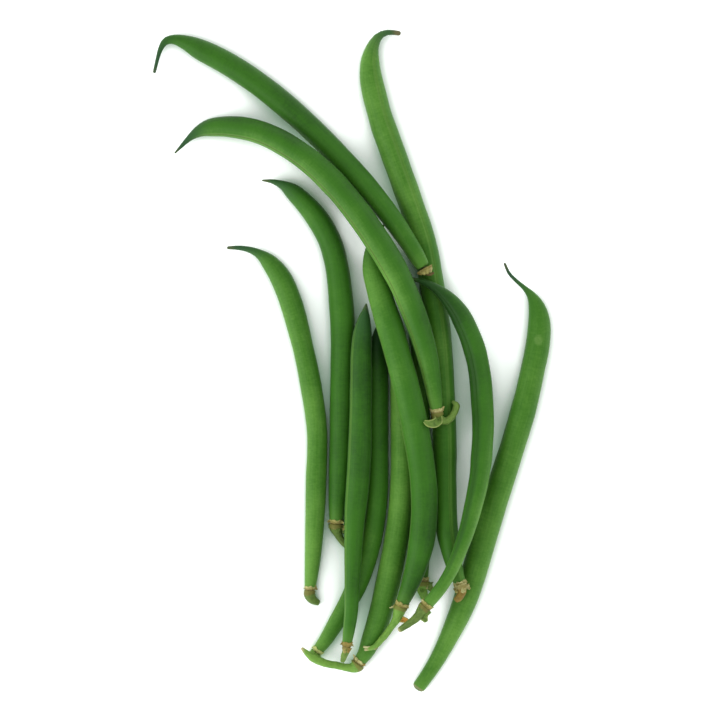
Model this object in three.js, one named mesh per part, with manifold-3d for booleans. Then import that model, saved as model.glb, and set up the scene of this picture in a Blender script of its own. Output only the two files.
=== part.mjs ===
// A bundle of twelve French beans lying loosely together on a table.
// Millimetres, +Z up. The hooked tails point toward +Y, the stem caps toward -Y,
// and z = 0 is the surface that the lowest pods lie on.

import * as THREE from 'three';
import Module from 'manifold-3d';
import { mergeVertices } from 'three/addons/utils/BufferGeometryUtils.js';

const wasm = await Module();
wasm.setup();

// How the beans lie on each other
const PIECE_GAP = 0.45; // air kept between one piece and the next
const POD_BEND_RADIUS = 150; // the tightest that a pod bends up or down over another
const STEM_BEND_RADIUS = 25; // the same for a thin green stem
const TABLE_PRESS = 0.25; // how far the underside of a low pod is pressed flat
const SAMPLE_STEP = 1; // distance between the points that heights are worked out at
const SMOOTHING_PASSES = 12; // softens the bow of a pod where one touching point meets the next
const MIDDLE = [-0.13, 0.085]; // middle of the bundle's box in the routes' own x and y

// Pods
const POD_SIDES = 12;
const SEAM_SWELL = 0.02; // a pod is this much deeper across its two seams
const SEED_PITCH = 12; // distance from one swelling over a seed to the next
const SEED_SWELL = 0.12;
const SEEDED_RADIUS = 2.8; // the tail and the neck are thinner than this and hold no seeds
const RING_STEP = { perRadius: 1.1, least: 1.2, most: 4.2 };
const TIP_LENGTH = 0.5; // how far the rounded tip of a tail reaches past its last ring

// The dome of a pod that has lost its cap, as shares of the radius where it begins
const BARE_END = { reach: [0.45, 0.7], slimmed: [0.8, 0.45], tip: 0.75 };

// The caps: a papery cup with five teeth, on a short green stem
const CAP_SIDES = 10;
const CUP_TEETH = 5;
const TOOTH_LENGTH = 0.3;
const CUP_DEPTH = 1.9; // from the pod's shoulder to the root of the stem
const CUP_MOUTH = 0.5; // from the shoulder to the middle of the cup's toothed edge
const CUP_FLOOR = 1.45; // from the shoulder to the inside of the cup's bottom
const CUP_OVERHANG = 0.12; // the cup is this much wider than the pod's shoulder
const NUB_INSET = 0.95; // the pod's last bit, inside the cup, is this much slimmer
const NUB_START = 0.1; // the pod's shoulder slopes in this far before the nub begins
const NUB_LENGTH = 1.05;
const STEM_TIP = 0.5; // the end of a stem bulges by this share of its last radius
const BRACT_SIDES = 8;
const BRACT_ROOT = 0.5; // share of the cup's radius that a bract starts with

const POD_FINISH = { roughness: 0.5, metalness: 0 };
const CAP_FINISH = { roughness: 0.75, metalness: 0 };
const POD_GREEN = { fresh: '#4f8531', deep: '#3c6f2a', pale: '#5b8f3c' };
const CAP_COLOUR = { tan: '#a58f52', brown: '#8a6630', green: '#6f9a3f' };

// Every route is a list of [x, y, radius]. A pod's runs from the tip of its tail to its
// shoulder, where the cap begins, and a stem's or bract's from the bottom of the cup.
// The pods stand in the order in which they were laid down, the lowest first.
// seam is the angle in degrees between the upper seam and straight up.
const BEANS = [
  {
    name: 'hidden',
    seam: 15,
    green: POD_GREEN.deep,
    pod: [
      [15.4, 33.6, 0.5], [17, 29.4, 1.1], [18.7, 23, 2], [20.5, 10.2, 2.4],
      [21.9, -3.2, 2.4], [22.7, -19.2, 2.4], [23, -35.2, 2.4], [23, -48, 2.4],
      [22.9, -57.6, 2.3], [22.7, -64, 2.2], [22.6, -70.2, 1.9],
    ],
    cap: CAP_COLOUR.green,
    stem: [[22.6, -74.2, 1.3], [23, -75.6, 1.1], [23.7, -77, 0.9]],
  },
  {
    name: 'left_outer',
    seam: 75,
    green: POD_GREEN.pale,
    pod: [
      [-39.7, 36, 0.5], [-36.5, 36, 0.7], [-32.6, 35.3, 1], [-29.4, 33.8, 1.6],
      [-26.6, 31.4, 2.6], [-23, 26.6, 3.3], [-19.7, 18.9, 3.5], [-15.5, 3.2, 3.3],
      [-13.1, -8.6, 3.3], [-11.2, -23, 3.2], [-11.5, -38.4, 3.2], [-11.9, -51.2, 3],
      [-12.6, -64, 2.5], [-13.4, -73, 1.7],
    ],
    cap: CAP_COLOUR.green,
    stem: [[-13.2, -76.2, 1.6], [-12, -77.3, 1.2], [-10.6, -78, 0.8]],
  },
  {
    name: 'left_inner',
    seam: -75,
    green: POD_GREEN.fresh,
    pod: [
      [-28.5, 57.6, 0.3], [-25.6, 57.3, 0.7], [-22.4, 56.2, 1.4], [-19.2, 54.1, 2.6],
      [-14.9, 50, 3.1], [-10.6, 44.6, 3.5], [-7, 37.9, 3.6], [-4.9, 30.1, 3.7],
      [-3.7, 20.8, 3.8], [-3, 9.6, 3.8], [-3.2, -6.4, 3.7], [-3.5, -22.4, 3.6],
      [-4, -35.2, 3.4], [-4.5, -43.8, 3], [-5, -51.7, 2.2],
    ],
    cap: CAP_COLOUR.tan,
    stem: [[-4.6, -55.5, 1.4], [-3.8, -57.1, 1.1], [-2.6, -58.7, 1], [-1.6, -60, 0.8]],
  },
  {
    name: 'left_crossing',
    seam: 45,
    green: POD_GREEN.deep,
    pod: [
      [10.9, 13.4, 0.5], [9, 10.9, 1], [8.2, 7, 1.9], [8.1, 1.6, 2.9],
      [8.3, -6.4, 3.3], [8.3, -19.2, 3.4], [8.3, -32, 3.4], [8.1, -42.2, 3.4],
      [7.3, -51.2, 3.4], [5.8, -59.2, 3.4], [3.7, -66.2, 3.4], [1, -73.3, 3.2],
      [-2.2, -79.4, 2.9], [-5.4, -84.8, 2.6], [-8.3, -89.6, 2.2], [-10.9, -93.1, 1.8],
    ],
    cap: CAP_COLOUR.tan,
    stem: [[-12.6, -95.7, 1.2], [-13.1, -96.6, 0.8]],
  },
  {
    name: 'right_outer',
    seam: -75,
    green: POD_GREEN.fresh,
    pod: [
      [49.1, 30.7, 0.4], [50.4, 27.8, 0.5], [52.8, 25.3, 0.6], [55.4, 23, 0.8],
      [57.6, 20.5, 1.5], [59.2, 17, 2.6], [60, 12.2, 3.4], [59.5, 4.8, 3.8],
      [57.9, -3.2, 3.8], [55.5, -13.8, 3.9], [52.1, -25.6, 3.9], [48.5, -36.8, 4],
      [45.1, -47.4, 4], [40, -65, 4], [36.3, -76.8, 3.7], [32.2, -86.4, 3.1],
      [27.5, -95.7, 2.45], [24.2, -101, 2.15], [21.5, -104.8, 2.05],
    ],
  },
  {
    name: 'top_long',
    seam: -15,
    green: POD_GREEN.pale,
    pod: [
      [15, 104.8, 0.8], [11.5, 105.1, 0.9], [8.6, 103.8, 1.3], [6.7, 100.5, 2],
      [5.8, 96, 3], [6, 90.9, 3.6], [7.4, 84.2, 3.9], [9.6, 76.2, 4],
      [12.8, 67.2, 4.1], [16.8, 56, 4.1], [19.8, 47.4, 4.1], [23.2, 36.8, 4],
      [25.9, 22.4, 4], [27.6, 9.6, 4], [28.8, -3.2, 3.9], [29.4, -16, 3.9],
      [29.8, -28.8, 3.8], [29.9, -44.8, 3.7], [30.4, -54.4, 3.5], [31.5, -61.1, 3],
      [32.8, -66.2, 2.6], [34.4, -71.2, 2],
    ],
    cap: CAP_COLOUR.brown,
    stem: [[35.1, -74.2, 1.6], [34.2, -75.7, 1.5], [33.1, -76.8, 1.1]],
  },
  {
    name: 'centre_low',
    seam: 75,
    green: POD_GREEN.pale,
    pod: [
      [9, 13.4, 0.4], [11.2, 11.2, 0.6], [13.1, 8, 1.3], [14.7, 3.5, 2.4],
      [15.7, -2.2, 3.3], [16, -11.2, 3.6], [16.1, -25.6, 3.7], [16.1, -38.4, 3.7],
      [15.1, -51.2, 3.8], [13, -64, 3.8], [10.2, -76.8, 3.7], [8.5, -83.2, 3.6],
      [6.2, -89.6, 3.1], [4.2, -94.1, 2.4], [2.4, -96.6, 1.9],
    ],
    cap: CAP_COLOUR.green,
    stem: [
      [0, -98.7, 1.3], [-1.9, -98.5, 1], [-4.5, -97.9, 1], [-7.7, -97.3, 1],
      [-10.6, -96.3, 1.1], [-13.1, -94.9, 1], [-14.7, -93.6, 0.7], [-15.7, -92.6, 0.5],
    ],
  },
  {
    name: 'centre',
    seam: 60,
    green: POD_GREEN.fresh,
    pod: [
      [9.9, 42.9, 0.5], [8, 40.3, 0.8], [6.6, 37.4, 1.5], [6.2, 33.6, 2.4],
      [6.7, 29.1, 3.3], [8.2, 23.4, 3.7], [10.2, 16.6, 4], [12.5, 9.3, 4.1],
      [14.7, 1.3, 4.1], [16.8, -6.7, 4.2], [18.7, -14.7, 4.2], [20.5, -23.4, 4.2],
      [22.1, -33, 4.2], [23, -41.9, 4.2], [23, -49.9, 4.1], [22.2, -57.9, 4],
      [20.5, -65.6, 3.5], [18.4, -72, 2.8], [16, -77.8, 2],
    ],
    cap: CAP_COLOUR.green,
    stem: [
      [14.1, -82.9, 1.3], [12.5, -85.4, 1], [10.6, -88, 1], [8.8, -90.1, 0.9],
      [7, -91.8, 0.8], [4.5, -92.6, 0.4],
    ],
    bract: [[14.4, -81.9, 0.8], [16, -82.9, 1], [17.6, -83.2, 0.8], [18.6, -83.8, 0.3]],
  },
  {
    name: 'left_front',
    seam: 60,
    green: POD_GREEN.fresh,
    pod: [
      [4.5, 17.7, 0.35], [4.4, 16.7, 0.7], [4.2, 15.2, 1.3], [3.9, 13.2, 2],
      [3.4, 9, 2.9], [3, 3.2, 3.3], [2.9, -6.4, 3.5], [2.7, -19.2, 3.6],
      [2.4, -30.4, 3.7], [1.8, -40, 3.7], [1.1, -48, 3.5], [0.6, -56, 3],
      [0.3, -64, 2.7], [0, -73.6, 2.4], [-0.3, -80.6, 2.2], [-1, -86.4, 1.9],
      [-1.6, -90.6, 1.5],
    ],
    cap: CAP_COLOUR.brown,
    stem: [[-2.2, -93.8, 1.4], [-2.7, -95.2, 1.2], [-3.1, -96.5, 0.8]],
  },
  {
    name: 'right_inner',
    seam: 0,
    green: POD_GREEN.deep,
    pod: [
      [18.9, 25.9, 0.5], [22.4, 25.1, 0.9], [26.6, 23, 1.5], [30.4, 19.8, 2.4],
      [33.9, 15.4, 3.1], [37, 9.3, 3.5], [39.4, 2.6, 3.6], [40.9, -4.8, 3.6],
      [41.6, -12.8, 3.6], [41.9, -20.8, 3.5], [41.5, -28.8, 3.5], [40.5, -37.8, 3.2],
      [38.6, -46.7, 2.9], [35.8, -56.6, 2.5], [31.5, -67.2, 2.1], [27.5, -73.6, 2],
      [24, -77.8, 1.9],
    ],
    cap: CAP_COLOUR.green,
    stem: [
      [21.8, -80.5, 1.5], [20.6, -82.1, 1.3], [18.9, -83.5, 1.1], [17, -84.8, 1],
      [15.2, -86.1, 0.8],
    ],
    bract: [[22.1, -81, 1], [23, -82.2, 1.2], [23.7, -83.5, 0.8]],
  },
  {
    name: 'upper_left',
    seam: 60,
    green: POD_GREEN.fresh,
    pod: [
      [-63.4, 92.5, 0.5], [-62.4, 96.6, 0.6], [-61.4, 99.8, 0.8], [-59.8, 102.2, 1.2],
      [-57.3, 102.8, 1.5], [-53.4, 101.8, 2.3], [-48.6, 99.5, 3.2], [-40.6, 95.4, 3.6],
      [-31, 89.2, 3.7], [-21.6, 81.8, 3.7], [-12, 73.1, 3.7], [-2.2, 63, 3.6],
      [6.4, 53.3, 3.5], [12.7, 45.2, 3.2], [17.6, 38.1, 2.8], [20.5, 33.4, 2.6],
      [22.4, 30.1, 2.2],
    ],
    cap: CAP_COLOUR.tan,
    stem: [[23.9, 27.7, 1.2], [25, 27.3, 0.9], [26, 27.9, 0.6]],
  },
  {
    name: 'on_top',
    seam: 75,
    green: POD_GREEN.pale,
    pod: [
      [-56.6, 66.6, 0.3], [-54.7, 68.6, 0.6], [-52.2, 71.1, 1], [-49.1, 73.3, 1.9],
      [-45.4, 74.5, 2.9], [-39, 74.7, 3.4], [-31, 73.3, 3.7], [-23.1, 69.9, 3.9],
      [-13.6, 63.5, 4], [-5.6, 56, 4.1], [1.8, 47, 4.2], [8.2, 37.7, 4.2],
      [14.4, 27.2, 4.1], [19.7, 15, 3.9], [23.1, 4.8, 3.5], [25, -3.2, 3.1],
      [26.3, -11.2, 2.5], [27, -16, 1.9],
    ],
    cap: CAP_COLOUR.green,
    stem: [
      [27.8, -18.9, 1.5], [30.1, -19.5, 1.1], [31.8, -18.2, 1], [33, -16.3, 1],
      [33.4, -14.4, 1], [32.3, -13.4, 0.5],
    ],
    bract: [[27.5, -19.4, 1.2], [25.8, -20.2, 1.4], [24, -20.1, 1.2], [22.9, -19.4, 0.6]],
  },
];

// Points one step apart along a route, each with its radius
function sampleRoute(route) {
  const curve = new THREE.CatmullRomCurve3(route.map((point) => new THREE.Vector3(...point)));
  const count = Math.max(2, Math.round(curve.getLength() / SAMPLE_STEP));
  return curve.getSpacedPoints(count).map(({ x, y, z }) => ({ x, y, radius: z }));
}

// The lowest that a point can lie: on the table, or on a piece that was laid before it
function restingHeight(point, piecesBelow) {
  let height = Math.max(point.radius - TABLE_PRESS, 0);
  for (const below of piecesBelow.flat()) {
    const reach = point.radius + below.radius + PIECE_GAP;
    const distance = Math.hypot(point.x - below.x, point.y - below.y);
    if (distance < reach) {
      height = Math.max(height, below.z + Math.sqrt(reach ** 2 - distance ** 2));
    }
  }
  return height;
}

// A stiff pod touches what is under it at a few places and bows gently between them
function drape(heights, bendRadius) {
  return heights.map((_, here) => {
    const bowed = heights.map((height, there) => {
      const away = (here - there) * SAMPLE_STEP;
      return height - away ** 2 / (2 * bendRadius);
    });
    return Math.max(...bowed);
  });
}

function smooth(heights) {
  let result = heights;
  for (let pass = 0; pass < SMOOTHING_PASSES; pass += 1) {
    result = result.map((height, i) => {
      if (i === 0 || i === result.length - 1) return height;
      return (result[i - 1] + 2 * height + result[i + 1]) / 4;
    });
  }
  return result;
}

function layDown(route, piecesBelow, bendRadius, heldHeight = 0) {
  const samples = sampleRoute(route);
  const resting = samples.map((sample) => restingHeight(sample, piecesBelow));
  resting[0] = Math.max(resting[0], heldHeight);
  const heights = smooth(drape(resting, bendRadius));
  return samples.map((sample, i) => ({ ...sample, z: heights[i] }));
}

// A stem or bract is held by the bottom of its cup and droops or lies on others further out
function layDownFrom(root, rootRadius, route, piecesBelow) {
  const wholeRoute = [[root.x, root.y, rootRadius], ...route];
  const laid = layDown(wholeRoute, piecesBelow, STEM_BEND_RADIUS, root.z);
  const lift = root.z - laid[0].z;
  const fade = laid.length - 1;
  return laid.map((sample, i) => ({ ...sample, z: sample.z + lift * (1 - i / fade) ** 2 }));
}

// A place on a path, with the directions along it, to its left and to its upper side
function frameAt(centre, along) {
  const left = new THREE.Vector3(0, 0, 1).cross(along).normalize();
  const up = along.clone().cross(left);
  return { centre, along, left, up };
}

function framesOf(samples) {
  const centres = samples.map(({ x, y, z }) => new THREE.Vector3(x, y, z));
  return centres.map((centre, i) => {
    const before = centres[Math.max(i - 1, 0)];
    const after = centres[Math.min(i + 1, centres.length - 1)];
    return frameAt(centre, after.clone().sub(before).normalize());
  });
}

// A ring of points round a frame; radiusAt and advanceAt shape it by its angle
function ringAt(frame, sides, startAngle, radiusAt, advanceAt = () => 0) {
  return Array.from({ length: sides }, (_, side) => {
    const angle = startAngle + (side / sides) * 2 * Math.PI;
    const radius = radiusAt(angle);
    const point = frame.centre.clone();
    point.addScaledVector(frame.left, radius * Math.cos(angle));
    point.addScaledVector(frame.up, radius * Math.sin(angle));
    point.addScaledVector(frame.along, advanceAt(angle));
    point.z = Math.max(point.z, 0);
    return point;
  });
}

// Joins rings into one closed skin. A wall may run back along its own inside.
function skinOf(startPoint, rings, endPoint) {
  const sides = rings[0].length;
  const corner = (ring, side) => 1 + ring * sides + (side % sides);
  const lastRing = rings.length - 1;
  const last = 1 + rings.length * sides;
  const faces = [];
  for (let side = 0; side < sides; side += 1) {
    faces.push(0, corner(0, side + 1), corner(0, side));
    for (let ring = 0; ring < lastRing; ring += 1) {
      faces.push(corner(ring, side), corner(ring, side + 1), corner(ring + 1, side + 1));
      faces.push(corner(ring, side), corner(ring + 1, side + 1), corner(ring + 1, side));
    }
    faces.push(last, corner(lastRing, side), corner(lastRing, side + 1));
  }
  const geometry = new THREE.BufferGeometry();
  geometry.setFromPoints([startPoint, ...rings.flat(), endPoint]);
  geometry.setIndex(faces);
  return geometry;
}

function solidOf(geometry) {
  const merged = mergeVertices(geometry);
  const vertProperties = new Float32Array(merged.getAttribute('position').array);
  const triVerts = new Uint32Array(merged.getIndex().array);
  return new wasm.Manifold(new wasm.Mesh({ numProp: 3, vertProperties, triVerts }));
}

function joined(geometries) {
  if (geometries.length === 1) return geometries[0];
  const solid = geometries.map(solidOf).reduce((whole, next) => whole.add(next));
  const { vertProperties, triVerts } = solid.getMesh();
  const geometry = new THREE.BufferGeometry();
  geometry.setAttribute('position', new THREE.BufferAttribute(vertProperties, 3));
  geometry.setIndex(new THREE.BufferAttribute(triVerts, 1));
  return geometry;
}

function meshOf(name, geometry, colour, finish) {
  geometry.computeVertexNormals();
  const mesh = new THREE.Mesh(geometry, new THREE.MeshStandardMaterial({ color: colour, ...finish }));
  mesh.name = name;
  return mesh;
}

// Rings stand closer together where a pod is thin, so that its hooked tail bends smoothly
function ringPlaces(samples) {
  const places = [0];
  let travelled = 0;
  for (let i = 1; i < samples.length - 1; i += 1) {
    travelled += SAMPLE_STEP;
    const wanted = samples[i].radius * RING_STEP.perRadius;
    const step = THREE.MathUtils.clamp(wanted, RING_STEP.least, RING_STEP.most);
    if (travelled >= step) {
      places.push(i);
      travelled = 0;
    }
  }
  places.push(samples.length - 1);
  return places;
}

// The pod's shoulder steps in to a slim nub, which sits inside the cup
function cappedEnd(frame, radius, ring) {
  const slim = radius - NUB_INSET;
  const moved = (distance) => ({
    ...frame,
    centre: frame.centre.clone().addScaledVector(frame.along, distance),
  });
  return {
    rings: [ring(moved(NUB_START), slim), ring(moved(NUB_LENGTH), slim)],
    tip: moved(NUB_LENGTH).centre,
  };
}

// A pod that has lost its cap ends in a blunt dome
function bareEnd(frame, radius, ring) {
  const moved = (share) => ({
    ...frame,
    centre: frame.centre.clone().addScaledVector(frame.along, radius * share),
  });
  return {
    rings: BARE_END.reach.map((reach, i) => ring(moved(reach), radius * BARE_END.slimmed[i])),
    tip: moved(BARE_END.tip).centre,
  };
}

function podGeometry(samples, seam, capped) {
  const seamAngle = THREE.MathUtils.degToRad(90 + seam);
  const ring = (frame, radius) => ringAt(
    frame,
    POD_SIDES,
    seamAngle,
    (angle) => radius * (1 + SEAM_SWELL * Math.cos(2 * (angle - seamAngle))),
  );
  const frames = framesOf(samples);
  const rings = ringPlaces(samples).map((i) => {
    const { radius } = samples[i];
    const seeds = radius > SEEDED_RADIUS ? SEED_SWELL : 0;
    const swell = seeds * Math.cos((2 * Math.PI * i * SAMPLE_STEP) / SEED_PITCH);
    return ring(frames[i], radius + swell);
  });
  const tip = frames[0].centre.clone().addScaledVector(frames[0].along, -TIP_LENGTH);
  const makeEnd = capped ? cappedEnd : bareEnd;
  const end = makeEnd(frames.at(-1), samples.at(-1).radius, ring);
  return skinOf(tip, [...rings, ...end.rings], end.tip);
}

// Where the cup of a cap sits: on the pod's shoulder, in line with the pod's last stretch
function cupOf(samples) {
  const shoulder = framesOf(samples).at(-1);
  const place = (distance) => ({
    ...shoulder,
    centre: shoulder.centre.clone().addScaledVector(shoulder.along, distance),
  });
  return { place, radius: samples.at(-1).radius };
}

function capGeometry(cup, stemSamples) {
  const outer = cup.radius + CUP_OVERHANG;
  const inner = cup.radius - NUB_INSET + PIECE_GAP;
  const tooth = (angle) => -TOOTH_LENGTH * Math.cos(CUP_TEETH * angle);
  const round = (radius) => () => radius;
  const cupRing = (distance, radius, advanceAt) => ringAt(
    cup.place(distance),
    CAP_SIDES,
    0,
    round(radius),
    advanceAt,
  );
  const frames = framesOf([cup.place(0).centre, ...stemSamples]).slice(1);
  const stemRings = stemSamples.map(({ radius }, i) => ringAt(frames[i], CAP_SIDES, 0, round(radius)));
  const rings = [
    cupRing(CUP_FLOOR, inner),
    cupRing(CUP_MOUTH, inner, tooth),
    cupRing(CUP_MOUTH, outer, tooth),
    cupRing(CUP_FLOOR, outer),
    ...stemRings,
  ];
  const end = frames.at(-1);
  const bulge = stemSamples.at(-1).radius * STEM_TIP;
  const tip = end.centre.clone().addScaledVector(end.along, bulge);
  return skinOf(cup.place(CUP_FLOOR).centre, rings, tip);
}

function bractGeometry(samples) {
  const frames = framesOf(samples);
  const rings = samples.map(({ radius }, i) => ringAt(frames[i], BRACT_SIDES, 0, () => radius));
  return skinOf(frames[0].centre, rings, frames.at(-1).centre);
}

// Lays one bean on those below it and gives its meshes and the room that they take
function makeBean(bean, piecesBelow) {
  const podSamples = layDown(bean.pod, piecesBelow, POD_BEND_RADIUS);
  const pod = podGeometry(podSamples, bean.seam, Boolean(bean.stem));
  const meshes = [meshOf(`pod_${bean.name}`, pod, bean.green, POD_FINISH)];
  const pieces = [podSamples];
  if (bean.stem) {
    const cup = cupOf(podSamples);
    const root = cup.place(CUP_DEPTH).centre;
    const growArm = (route, radius) => layDownFrom(root, radius, route, piecesBelow);
    const stem = growArm(bean.stem, cup.radius);
    const bracts = bean.bract ? [growArm(bean.bract, cup.radius * BRACT_ROOT)] : [];
    const solids = [capGeometry(cup, stem), ...bracts.map(bractGeometry)];
    meshes.push(meshOf(`cap_${bean.name}`, joined(solids), bean.cap, CAP_FINISH));
    pieces.push(stem, ...bracts);
  }
  return { meshes, pieces };
}

const bundle = new THREE.Group();
const laidPieces = [];
for (const bean of BEANS) {
  const { meshes, pieces } = makeBean(bean, laidPieces);
  bundle.add(...meshes);
  laidPieces.push(...pieces);
}
bundle.position.set(-MIDDLE[0], -MIDDLE[1], 0);

export default bundle;
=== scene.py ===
# Twelve French beans lying loosely together on a pale table, seen from straight above
import math
import random

import bpy
import numpy as np
from mathutils import Matrix, Vector


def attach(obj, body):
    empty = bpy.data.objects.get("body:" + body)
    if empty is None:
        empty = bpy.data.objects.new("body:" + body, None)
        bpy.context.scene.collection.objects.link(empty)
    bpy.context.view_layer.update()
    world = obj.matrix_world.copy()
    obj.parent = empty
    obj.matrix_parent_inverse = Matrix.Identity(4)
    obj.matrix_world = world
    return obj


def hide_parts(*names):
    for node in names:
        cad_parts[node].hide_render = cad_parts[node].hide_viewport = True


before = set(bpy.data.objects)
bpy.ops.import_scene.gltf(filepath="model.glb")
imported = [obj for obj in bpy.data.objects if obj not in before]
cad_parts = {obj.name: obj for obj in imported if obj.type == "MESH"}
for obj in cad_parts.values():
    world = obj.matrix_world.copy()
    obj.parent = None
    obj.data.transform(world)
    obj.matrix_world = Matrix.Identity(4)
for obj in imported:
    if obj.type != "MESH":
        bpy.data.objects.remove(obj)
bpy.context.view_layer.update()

mm = 0.001  # routes are in millimetres, the scene is in metres

# How the beans lie on each other, as in the solid model. Lengths are in millimetres.
lying = {
    "pieceGap": 0.45,
    "podBendRadius": 150,
    "stemBendRadius": 25,
    "tablePress": 0.25,
    "sampleStep": 1,
    "smoothingPasses": 12,
    "finePieces": 40,  # straight bits that stand for one stretch of a route while it is measured
    "middle": (-0.13, 0.085),  # middle of the bundle in the routes' own x and y
    "cupDepth": 1.9,
    "bractRoot": 0.5,
}

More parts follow.
